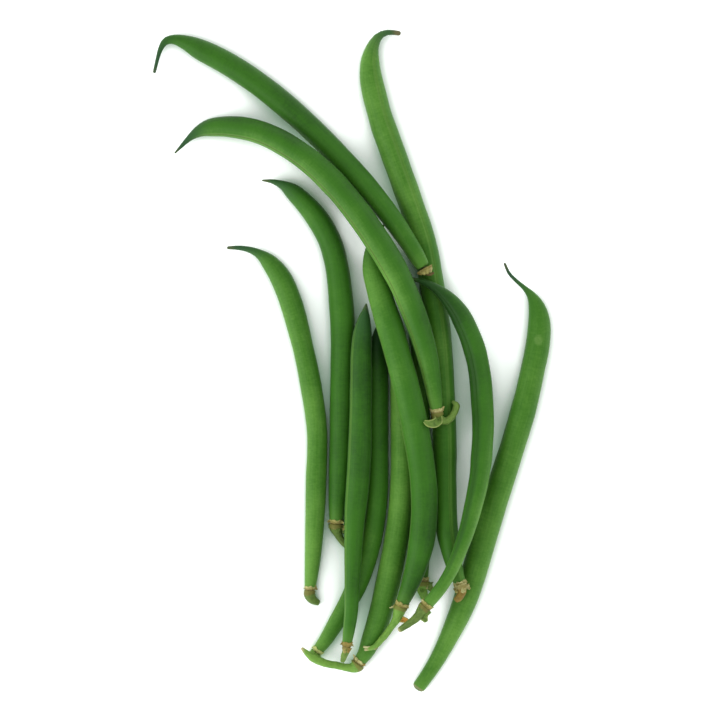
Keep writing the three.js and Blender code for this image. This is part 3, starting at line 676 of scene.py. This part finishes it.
def makeCup(bean, master, chance):
    shape = cupShape
    cup = copyOf(master, "cup" + plainName(bean))
    radius = bean["podPath"][-1, 3]
    x, y, z = verticesOf(cup).T
    along = x / mm
    angle = np.arctan2(z, y)
    turn = chance.uniform(0, 2 * math.pi)
    teeth = np.zeros(len(x))
    for tooth in range(shape["teeth"]):
        middle = turn + 2 * math.pi * (tooth + chance.uniform(-0.25, 0.25)) / shape["teeth"]
        off = np.angle(np.exp(1j * (angle - middle)))
        teeth += chance.uniform(0.3, 1.3) * np.exp(-(off / shape["toothWidth"]) ** 4)
    coarse, fine = shape["ragged"]
    ragged = coarse * np.sin(7 * angle + turn) + fine * np.sin(17 * angle + 2 * turn)
    edge = np.clip(1 - along / shape["edgeDepth"], 0, 1)
    footStart, footDepth = shape["foot"]
    foot = np.clip((along - footStart) / footDepth, 0, 1)
    reach = (teeth * shape["toothLength"] + ragged) * edge - shape["footRagged"] * ragged * foot
    flare = 1 + edge ** 2 * (teeth * shape["toothFlare"] + ragged * 0.5) / radius
    coarse, fine = shape["pucker"]
    pucker = 1 + coarse * np.sin(11 * angle + 3 * along + turn) + fine * np.sin(23 * angle - turn)
    depth = shape["profile"][-1][0]
    bulge = 1 + bean.get("cupBulge", 0) * np.sin(np.clip(along / depth, 0, 1) * math.pi)
    keepPattern(cup, np.column_stack([along, y, z]))
    size = radius * mm * flare * pucker * bulge * bean.get("cupSize", 1)
    length = bean.get("cupLength", 1)
    x = (along * length - reach - shape["overPod"]) * mm
    moveVertices(cup, np.column_stack([x, y * size, z * size]))
    thicken(cup, shape["wall"])
    placeAt(cup, endOf(bean["podPath"]), Vector(directionAtEnd(bean["podPath"])))
    liftOffTable(cup)
    return cup


stemShape = {
    "sides": 24,
    "rings": 44,
    "ribs": 5,
    "ribHeight": 0.03,
    "knots": 0.025,
    "wider": 1.08,
    "rootBack": 1,  # millimetres that the green root reaches back into the collar
    "endSteps": [(0.02, 0.85), (0.012, 0.62), (-0.012, 0.75), (-0.006, 0.5)],
    "rootSteps": [(-0.01, 0.7)],
}


def makeStemMaster():
    stem = makeTube("stemMaster", stemShape["sides"], stemShape["rings"])
    closeTube(stem, 0, stemShape["rootSteps"])
    closeTube(stem, 1, stemShape["endSteps"])
    tidyNormals(stem)
    return stem


def stemPathOf(bean):
    root = bean["stemPath"][0].copy()
    root[:3] -= directionAtEnd(bean["podPath"]) * stemShape["rootBack"]
    return np.vstack([root, bean["stemPath"]])


# The torn end of a stem, spread out flat
def forkPathOf(bean):
    height = bean["stemPath"][-1, 2]
    return np.array([(x, y, height, radius) for x, y, radius in bean["fork"]])


def makeStem(bean, master, chance, name, path):
    shape = stemShape
    stem = copyOf(master, name + plainName(bean))
    length = lengthOf(path)
    x, y, z = verticesOf(stem).T
    angle = np.arctan2(z, y)
    turn = chance.uniform(0, 2 * math.pi)
    size = bean.get("stemWider", shape["wider"])
    size = size + shape["ribHeight"] * np.sin(shape["ribs"] * angle + turn)
    for wave in (5.1, 2.3):
        size += shape["knots"] * np.sin(2 * math.pi * x * length / wave + angle + turn)
        turn = chance.uniform(0, 2 * math.pi)
    fromCup = x * length + bean.get("stemOff", 0)
    keepPattern(stem, np.column_stack([fromCup, y, z]), x * bean.get("dry", 1))
    moveVertices(stem, np.column_stack([x * length * mm, y * size, z * size]))
    bendAlong(stem, path)
    liftOffTable(stem)
    return stem


bractShape = {
    "cutsAlong": 20,
    "cutsAcross": 10,
    "wider": 1.15,  # times the radius of its solid
    "thickness": 0.45,  # millimetres
    "pointed": 0.45,
    "cupped": 0.55,
    "rumple": 0.08,
    "offBand": 3,  # keeps the brown band at a stem's root off the leaves
}

flapShape = {
    "thickness": 0.13,  # millimetres
    "steps": 7,
    "backRoot": 0.5,  # how far past the pod's shoulder a flap starts that reaches back
    "frontRoot": 1.1,
    "offSkin": 1.04,  # in radii
    "offStem": 0.85,
    "lean": 0.4,  # how much of the way round the cap a flap turns with its side of it
    "taper": 0.5,
    "hollow": 0.3,
    "crumple": (0.15, 0.1),
    "collarShown": 1.2,  # a dry flap shows this much of the collar's colours, up to its torn edge
}


# A pointed, hollowed leaf from 0 to 1 along X
def makeBractMaster():
    shape = bractShape
    deselectAll()
    bpy.ops.mesh.primitive_grid_add(
        x_subdivisions=shape["cutsAlong"], y_subdivisions=shape["cutsAcross"], size=1)
    bract = bpy.context.object
    bract.name = "bractMaster"
    bpy.ops.object.mode_set(mode="EDIT")
    bpy.ops.transform.translate(value=(0.5, 0, 0))
    bpy.ops.transform.resize(value=(1, 2 * shape["wider"], 1), center_override=(0, 0, 0))
    bpy.ops.object.mode_set(mode="OBJECT")
    return bract


def makeBract(bean, master, chance):
    shape = bractShape
    path = bean["bractPath"]
    bract = copyOf(master, "bract" + plainName(bean))
    length = lengthOf(path)
    x, y, z = verticesOf(bract).T
    turn = chance.uniform(0, 2 * math.pi)
    slim = 1 - shape["pointed"] * x ** 3
    hollow = shape["cupped"] * (y * slim) ** 2
    rumple = shape["rumple"] * np.sin(9 * x + turn) * np.cos(3 * y + turn)
    keepPattern(bract, np.column_stack([x * length + shape["offBand"], y, z]))
    moveVertices(bract, np.column_stack([x * length * mm, y * slim, hollow + rumple]))
    bendAlong(bract, path)
    thicken(bract, shape["thickness"])
    liftOffTable(bract)
    return bract


# Dry sepals that curl back over the pod, and leafy bits that stand on past the cap
def makeFlap(bean, master, which, flap):
    shape = flapShape
    kind, turn, reach, curl, width = flap
    piece = copyOf(master, "flap" + plainName(bean) + str(which))
    shoulder = bean["podPath"][-1]
    along = Vector(directionAtEnd(bean["podPath"]))
    left, up = leftAndUp(along)
    angle = math.radians(turn)
    outward = left * math.cos(angle) + up * math.sin(angle)
    root = shape["backRoot"] if reach > 0 else shape["frontRoot"]
    start = shoulder[3] * (shape["offSkin"] if reach > 0 else shape["offStem"])
    path = []
    for share in np.linspace(0, 1, shape["steps"]):
        spot = Vector(shoulder[:3]) + along * (root - reach * share)
        spot += outward * (start + curl * share ** 2)
        path.append([*spot, width * (1 - shape["taper"] * share)])
    path = np.array(path)
    x, y, z = verticesOf(piece).T
    slim = 1 - bractShape["pointed"] * x ** 3
    fromCap = bractShape["offBand"] + abs(reach) * x
    if kind in paper:
        fromCap = shape["collarShown"] * (1 - x)
    keepPattern(piece, np.column_stack([fromCap, y, z]))
    coarse, fine = shape["crumple"]
    height = coarse * np.sin(7 * x + angle) + fine * np.sin(4 * y + 5 * x)
    height -= shape["hollow"] * y ** 2
    moveVertices(piece, np.column_stack([x * lengthOf(path) * mm, y * slim, height]))
    bendAlong(piece, path, (math.pi / 2 - angle) * shape["lean"])
    thicken(piece, shape["thickness"])
    liftOffTable(piece)
    return piece


# Materials. A Wire is a node's output that Python arithmetic can be done with.
class Wire:
    def __init__(self, board, socket):
        self.board = board
        self.socket = socket

    def __add__(self, other):
        return self.board.math("ADD", self, other)

    def __sub__(self, other):
        return self.board.math("SUBTRACT", self, other)

    def __rsub__(self, other):
        return self.board.math("SUBTRACT", other, self)

    def __mul__(self, other):
        return self.board.math("MULTIPLY", self, other)

    __radd__ = __add__
    __rmul__ = __mul__


# The nodes of a material, or of the sky
class Board:
    def __init__(self, owner):
        owner.use_nodes = True
        self.owner = owner
        self.tree = owner.node_tree
        self.tree.nodes.clear()

    # Adds a node: its settings first, then a value or a link for each socket named
    def add(self, kind, settings, sockets, output=0):
        node = self.tree.nodes.new(kind)
        for key, value in settings.items():
            setattr(node, key, value)
        for key, value in sockets.items():
            if isinstance(value, Wire):
                self.tree.links.new(value.socket, node.inputs[key])
            else:
                node.inputs[key].default_value = value
        return Wire(self, node.outputs[output]) if node.outputs else None

    def math(self, operation, a, b=0):
        return self.add("ShaderNodeMath", {"operation": operation}, {0: a, 1: b})

    def mixColour(self, share, first, second):
        return self.add(
            "ShaderNodeMix", {"data_type": "RGBA"}, {0: share, 6: first, 7: second}, output=2)

    # 0 below one value and 1 above the other, or the other way round
    def step(self, value, low, high):
        return self.add(
            "ShaderNodeMapRange", {"interpolation_type": "SMOOTHSTEP"},
            {"Value": value, "From Min": low, "From Max": high})

    def noise(self, place, scale, detail=2, roughness=0.5):
        return self.add(
            "ShaderNodeTexNoise", {},
            {"Vector": place, "Scale": scale, "Detail": detail, "Roughness": roughness})

    def place(self):
        return self.add("ShaderNodeTexCoord", {}, {}, output="Object")

    # How far a place is from a spot, times scale
    def distance(self, place, spot, scale):
        far = self.add(
            "ShaderNodeVectorMath", {"operation": "DISTANCE"}, {0: place, 1: spot}, output="Value")
        return far * scale

    # The vector kept on the surface, as three values
    def pattern(self):
        kept = self.add("ShaderNodeAttribute", {"attribute_name": "pattern"}, {}, output="Vector")
        node = self.add("ShaderNodeSeparateXYZ", {}, {"Vector": kept}).socket.node
        return [Wire(self, output) for output in node.outputs]

    def stretched(self, x, y, z):
        return self.add("ShaderNodeCombineXYZ", {}, {"X": x, "Y": y, "Z": z})

    def bump(self, height, distance):
        return self.add("ShaderNodeBump", {}, {"Height": height, "Distance": distance})

    def finish(self, sockets):
        shader = self.add("ShaderNodeBsdfPrincipled", {}, sockets)
        self.add("ShaderNodeOutputMaterial", {}, {"Surface": shader})
        return self.owner


def colour(red, green, blue):
    return [((value / 255 + 0.055) / 1.055) ** 2.4 for value in (red, green, blue)] + [1]


skin = {
    "deep": colour(24, 64, 9),
    "fresh": colour(48, 100, 17),
    "pale": colour(94, 142, 54),
    "seam": colour(52, 50, 22),
    # a painted highlight on the skin beside the upper seam
    "ridgeHighlight": colour(108, 140, 64),
    "tail": colour(38, 72, 44),
    "tip": colour(96, 92, 62),
    "scar": colour(104, 140, 70),
    "scarPlace": (0.0598, 0.0063, 0.008),  # a pale rubbed patch on the right outer pod
    "cut": colour(118, 116, 82),
    "cutMiddle": colour(56, 84, 30),
    "cloudScale": 60,
    "grainScale": 1300,
    "toneAndShadingShare": 0.85,  # what the green's lightness is made up of
    "cloudShare": 1.05,
    "streakShare": 0.36,
    "grainShare": 0.28,
    "wrinkleShare": 0.38,
    "freshRange": (-0.35, 0.45),  # the lightness where the fresh green starts and is full
    "paleRange": (0.35, 1.3),
    # painted shade on one flank, for pods that set none of their own
    "shade": 0.12,
    "line": 0.3,
    "ridgeHighlightStrength": 0.3,
    "creaseShadeWidth": (0.6, 0.1),  # radii from the seam where a mark starts and is full
    "ridgeHighlightWidth": (0.24, 0.1),
    "upperSeam": (0.075, 0.01),
    "lowerSeam": (0.06, 0.01),
    "creaseShadeTail": (12, 40),  # millimetres from the tip where a mark starts and is full
    "creaseShadeStem": (4, 22),  # and from the shoulder
    "greyTail": (16, 3),
    "brownTip": (3, 0.4),
    "paleNeck": 7,
    "roughness": 0.52,
    "specular": 0.17,
    "sheen": 0.1,
    "sheenRoughness": 0.45,
    "sheenTint": colour(196, 214, 186),
    "bump": 0.00012,
}


# The waxy skin. The pattern holds the distance from the tail in millimetres, and the place in
# the pod's section with the seams at the top and bottom.
def makeSkin(bean):
    board = Board(bpy.data.materials.new("skin" + plainName(bean)))
    along, side, upward = board.pattern()
    place = board.place()
    atTail, atStem = bean["toneAndShading"]
    cloud = board.noise(place, skin["cloudScale"], 3)
    streak = board.noise(board.stretched(along * 0.03, side * 2.6, upward * 2.6), 3, 3, 0.6)
    grain = board.noise(place, skin["grainScale"])
    wrinkle = board.noise(board.stretched(along * 1.1, side * 0.8, upward * 0.8), 1.6, 3, 0.7)
    turn = math.radians(bean["seam"])
    across = side * math.cos(turn) - upward * math.sin(turn)
    length = lengthOf(bean["podPath"])
    # the pod's own green from tail to stem, with painted light and shade for each pod on top of it
    toneAndShading = atTail + along * ((atStem - atTail) / length)
    # painted shade on one flank: darker on the left looking towards the stem
    lightness = toneAndShading * skin["toneAndShadingShare"] - across * bean.get("shade", skin["shade"])
    lightness += (cloud - 0.5) * skin["cloudShare"] + (streak - 0.5) * skin["streakShare"]
    lightness += (grain - 0.5) * skin["grainShare"] + (wrinkle - 0.5) * skin["wrinkleShare"]
    base = board.mixColour(board.step(lightness, *skin["freshRange"]), skin["deep"], skin["fresh"])
    base = board.mixColour(board.step(lightness, *skin["paleRange"]), base, skin["pale"])
    offSeam = board.math("ABSOLUTE", side)
    upper = board.step(upward, 0, 0.5)
    # painted shade in the sunk-in crease beside the upper seam, faded out at the tail and shoulder
    atShoulder, further = skin["creaseShadeStem"]
    body = board.step(along, *skin["creaseShadeTail"])
    body *= board.step(along, length - atShoulder, length - further)
    hollow = board.step(offSeam, *skin["creaseShadeWidth"]) * upper * body * bean.get("hollow", 0)
    # a painted highlight on the skin beside the upper seam
    ridgeHighlight = board.step(offSeam, *skin["ridgeHighlightWidth"]) * upper * bean.get("ridgeHighlight", skin["ridgeHighlightStrength"])
    upperSeam = board.step(offSeam + (wrinkle - 0.5) * 0.06, *skin["upperSeam"]) * upper
    lowerSeam = board.step(offSeam, *skin["lowerSeam"]) * board.step(upward, 0, -0.5)
    seamLine = upperSeam * bean.get("line", skin["line"]) + lowerSeam * 0.3
    tail = board.step(along + (streak - 0.5) * 6, *skin["greyTail"]) * bean["tail"]
    tip = board.step(along + (grain - 0.5) * 1.5, *skin["brownTip"]) * bean["tip"]
    neck = board.step(along, length - skin["paleNeck"], length) * 0.35
    marks = [
        (hollow, "deep"), (ridgeHighlight * 0.6, "ridgeHighlight"), (seamLine * 0.7, "seam"),
        (tail, "tail"), (tip, "tip"), (neck, "pale"),
    ]
    if "stem" not in bean:
        cut = board.step(along + (grain - 0.5) * 0.6, length - 0.1, length + 0.3)
        middle = board.step(along, length + 0.5, length + 1)
        marks += [(cut * 0.8, "cut"), (middle, "cutMiddle")]
    if bean["name"] == "right_outer":
        away = board.distance(place, skin["scarPlace"], 1000) + (wrinkle - 0.5) * 2
        patch = board.step(away, 2.2, 1.3) * board.step(away + grain, 0.7, 1.5)
        marks.append((patch * 0.4, "scar"))
    for mask, name in marks:
        base = board.mixColour(mask, base, skin[name])
    height = streak * 0.35 + cloud * 0.3 + grain * 0.1 + wrinkle * 0.3
    return board.finish({
        "Base Color": base,
        "Roughness": skin["roughness"] + (cloud - 0.5) * 0.12 + (grain - 0.5) * 0.1,
        "Specular IOR Level": skin["specular"],
        "Sheen Weight": skin["sheen"],
        "Sheen Roughness": skin["sheenRoughness"],
        "Sheen Tint": skin["sheenTint"],
        "Normal": board.bump(height, skin["bump"]),
    })


# The light and the dark colour of each papery kind, and how brown its band is
paper = {
    "tan": (colour(172, 167, 100), colour(112, 109, 52), 0.65),
    "brown": (colour(154, 138, 72), colour(96, 83, 36), 0.6),
    "pale": (colour(196, 195, 138), colour(138, 133, 72), 0.75),
    "rim": (colour(186, 196, 120), colour(138, 150, 76), 0),
}

paperLook = {
    "band": colour(116, 105, 52),
    # painted shade in the collar's folds
    "foldShade": colour(50, 54, 20),
    "blotchScale": 900,
    "darkRange": (0.35, 0.75),
    "bandPlace": (0.45, 1),  # millimetres from the torn edge where the band starts and is full
    "foldShadeRange": (0.42, 0.3),
    "roughness": 0.8,
    "specular": 0.2,
    "bump": 0.0002,
}


# The dry collar: pale along its torn edge, brown towards the stem, and with painted shade in its folds
def makePaper(kind):
    board = Board(bpy.data.materials.new("paper" + kind.title()))
    along, side, upward = board.pattern()
    place = board.place()
    light, dark, brownness = paper[kind]
    blotch = board.noise(place, paperLook["blotchScale"], 3, 0.6)
    fibre = board.noise(board.stretched(along * 0.8, side * 5, upward * 5), 3, 3)
    darkness = board.step(blotch + (fibre - 0.5), *paperLook["darkRange"])
    base = board.mixColour(darkness, light, dark)
    band = board.step(along + (fibre - 0.5) * 0.9, *paperLook["bandPlace"])
    base = board.mixColour(band * brownness, base, paperLook["band"])
    # painted shade in the folds, laid by the fibre pattern
    foldShade = board.step(fibre + (blotch - 0.5) * 0.4, *paperLook["foldShadeRange"])
    base = board.mixColour(foldShade * 0.7, base, paperLook["foldShade"])
    return board.finish({
        "Base Color": base,
        "Roughness": paperLook["roughness"],
        "Specular IOR Level": paperLook["specular"],
        "Normal": board.bump(fibre * 0.7 + blotch * 0.3, paperLook["bump"]),
    })


# The light and the dark colour of each stem and leafy bit
leafy = {
    "green": (colour(108, 150, 58), colour(70, 114, 36)),
    "olive": (colour(104, 134, 56), colour(62, 90, 30)),
    "moss": (colour(90, 116, 48), colour(52, 78, 24)),
    "twig": (colour(104, 88, 46), colour(56, 46, 20)),
    "orange": (colour(130, 109, 44), colour(84, 69, 24)),
    "amber": (colour(196, 146, 60), colour(148, 104, 40)),
    "end": (colour(186, 188, 138), colour(140, 150, 92)),
}

leafyLook = {
    "end": colour(164, 158, 112),
    "edge": colour(150, 164, 92),
    "band": colour(108, 100, 44),
    "blotchScale": 600,
    "darkRange": (0.4, 0.75),
    "bandPlace": (1.6, 1),  # millimetres from the root where the band ends and is still full
    "dryRange": (0.93, 1.01),  # the share of a stem's length where its dry end starts and is full
    "roughness": 0.62,
    "specular": 0.25,
    "bump": 0.00012,
}


# Stems and leafy bits: streaky green with painted light on the upper side, a brown band at the root and a
# dry end
def makeLeafy(kind):
    board = Board(bpy.data.materials.new("leafy" + kind.title()))
    along, side, upward = board.pattern()
    share = board.add("ShaderNodeAttribute", {"attribute_name": "share"}, {}, output="Fac")
    place = board.place()
    light, dark = leafy[kind]
    streak = board.noise(board.stretched(along * 0.5, side * 3, upward * 3), 2, 3)
    blotch = board.noise(place, leafyLook["blotchScale"])
    darkness = board.step(streak * 0.6 + blotch * 0.5, *leafyLook["darkRange"])
    base = board.mixColour(darkness, light, dark)
    # painted light: the upper side of a stem or leafy bit is drawn paler
    paintedTopLight = board.step(upward, 0.2, 0.95) * 0.35
    base = board.mixColour(paintedTopLight, base, light)
    edge = board.step(board.math("ABSOLUTE", side), 0.85, 1.15) * board.step(along, 3.6, 4.4)
    base = board.mixColour(edge * 0.6, base, leafyLook["edge"])
    band = board.step(along + (blotch - 0.5) * 0.8, *leafyLook["bandPlace"])
    base = board.mixColour(band * 0.7, base, leafyLook["band"])
    dry = board.step(share + (blotch - 0.5) * 0.1, *leafyLook["dryRange"])
    base = board.mixColour(dry, base, leafyLook["end"])
    return board.finish({
        "Base Color": base,
        "Roughness": leafyLook["roughness"],
        "Specular IOR Level": leafyLook["specular"],
        "Normal": board.bump(streak * 0.6 + blotch * 0.4, leafyLook["bump"]),
    })


def dress(piece, material, node):
    piece.data.materials.clear()
    piece.data.materials.append(material)
    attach(piece, "root")
    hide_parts(node)


def makeBeans():
    podMaster = makePodMaster("podMaster", podShape["neckSteps"])
    bareMaster = makePodMaster("bareMaster", podShape["bareSteps"])
    cupMaster = makeCupMaster()
    stemMaster = makeStemMaster()
    bractMaster = makeBractMaster()
    stuffs = {kind: makePaper(kind) for kind in paper}
    stuffs.update({kind: makeLeafy(kind) for kind in leafy})
    for number, bean in enumerate(beans):
        chance = random.Random(podShape["randomStart"] + number)
        capped = "stem" in bean
        pod = makePod(bean, podMaster if capped else bareMaster, chance)
        dress(pod, makeSkin(bean), "pod_" + bean["name"])
        capPieces = []
        if capped:
            cup = makeCup(bean, cupMaster, chance)
            stem = makeStem(bean, stemMaster, chance, "stem", stemPathOf(bean))
            capPieces += [(cup, bean["cup"]), (stem, bean.get("stemColour", "green"))]
            for which, flap in enumerate(bean["flaps"]):
                capPieces.append((makeFlap(bean, bractMaster, which, flap), flap[0]))
        if "fork" in bean:
            fork = makeStem(bean, stemMaster, chance, "fork", forkPathOf(bean))
            capPieces.append((fork, "end"))
        if "bract" in bean:
            bract = makeBract(bean, bractMaster, chance)
            capPieces.append((bract, bean["bractColour"]))
        for piece, kind in capPieces:
            dress(piece, stuffs[kind], "cap_" + bean["name"])
    for master in (podMaster, bareMaster, cupMaster, stemMaster, bractMaster):
        bpy.data.objects.remove(master)
    print("modelled", len(beans), "beans")


# The table, the light and the camera, in metres and watts
studio = {
    "tableSize": 6,
    "tableColour": (0.9, 0.94, 0.92, 1),
    "gapShadeAndBounce": (0.62, 0.86, 0.68, 1),  # painted shade and green bounce light on the table between close pods
    "gapReach": 0.011,  # how far from the table its neighbours count, in metres
    "gapTint": (0.3, 0.62),  # the share of open sky where the painted gap shade is full and where it is gone
    "gapGlow": (0.5, 0.78),  # and where the painted glow is gone and where it is full
    "glow": 0.55,  # painted light: the open table glows to bleach its soft shadows
    "roughness": 0.9,
    "specular": 0.1,
    "skyLow": 2.1,
    "skyHigh": 0.95,
    "keyPower": 7,
    "keySize": 0.9,
    "keyPlace": (-0.95, -0.45, 0.75),
    "viewWidth": 0.22528,
    "viewHeight": 1.6,
    "aim": (0.00013, 0.002475),
    "beanHeight": 0.006,
    "sensor": 36,
}


def makeTable():
    deselectAll()
    bpy.ops.mesh.primitive_plane_add(size=studio["tableSize"])
    table = bpy.context.object
    table.name = "tableTop"
    board = Board(bpy.data.materials.new("tableTop"))
    openness = board.add(
        "ShaderNodeAmbientOcclusion", {}, {"Distance": studio["gapReach"]}, output="AO")
    # painted shade and green bounce light between close pods, and a painted glow on the open table that
    # bleaches its soft shadows
    clearOfGapShade = board.step(openness, *studio["gapTint"])
    paintedGlowShare = board.step(openness, *studio["gapGlow"])
    table.data.materials.append(board.finish({
        "Base Color": board.mixColour(clearOfGapShade, studio["gapShadeAndBounce"], studio["tableColour"]),
        "Roughness": studio["roughness"],
        "Specular IOR Level": studio["specular"],
        "Emission Color": board.mixColour(paintedGlowShare, (0, 0, 0, 1), studio["tableColour"]),
        "Emission Strength": studio["glow"],
    }))


def makeSky():
    world = bpy.data.worlds.new("softSky")
    bpy.context.scene.world = world
    board = Board(world)
    direction = board.add("ShaderNodeTexCoord", {}, {}, output="Generated")
    height = board.add("ShaderNodeSeparateXYZ", {}, {"Vector": direction}, output="Z")
    brightness = board.add("ShaderNodeMapRange", {}, {
        "Value": height, "To Min": studio["skyLow"], "To Max": studio["skyHigh"]})
    sky = board.add("ShaderNodeBackground", {}, {"Strength": brightness})
    board.add("ShaderNodeOutputWorld", {}, {"Surface": sky})


def makeLight():
    deselectAll()
    bpy.ops.object.light_add(type="AREA", location=studio["keyPlace"])
    key = bpy.context.object
    key.name = "keyLight"
    key.data.shape = "DISK"
    key.data.size = studio["keySize"]
    key.data.energy = studio["keyPower"]
    aim = -Vector(studio["keyPlace"])
    key.rotation_euler = aim.to_track_quat("-Z", "Y").to_euler()


def makeCamera():
    deselectAll()
    distance = studio["viewHeight"] - studio["beanHeight"]
    bpy.ops.object.camera_add(location=(*studio["aim"], studio["viewHeight"]), rotation=(0, 0, 0))
    camera = bpy.context.object
    camera.name = "camera"
    camera.data.sensor_width = studio["sensor"]
    camera.data.lens = studio["sensor"] * distance / studio["viewWidth"]
    bpy.context.scene.camera = camera


layBundle()
makeBeans()
makeTable()
makeSky()
makeLight()
makeCamera()
bpy.context.scene.view_settings.view_transform = "Standard"
print("set the table, the light and the camera")
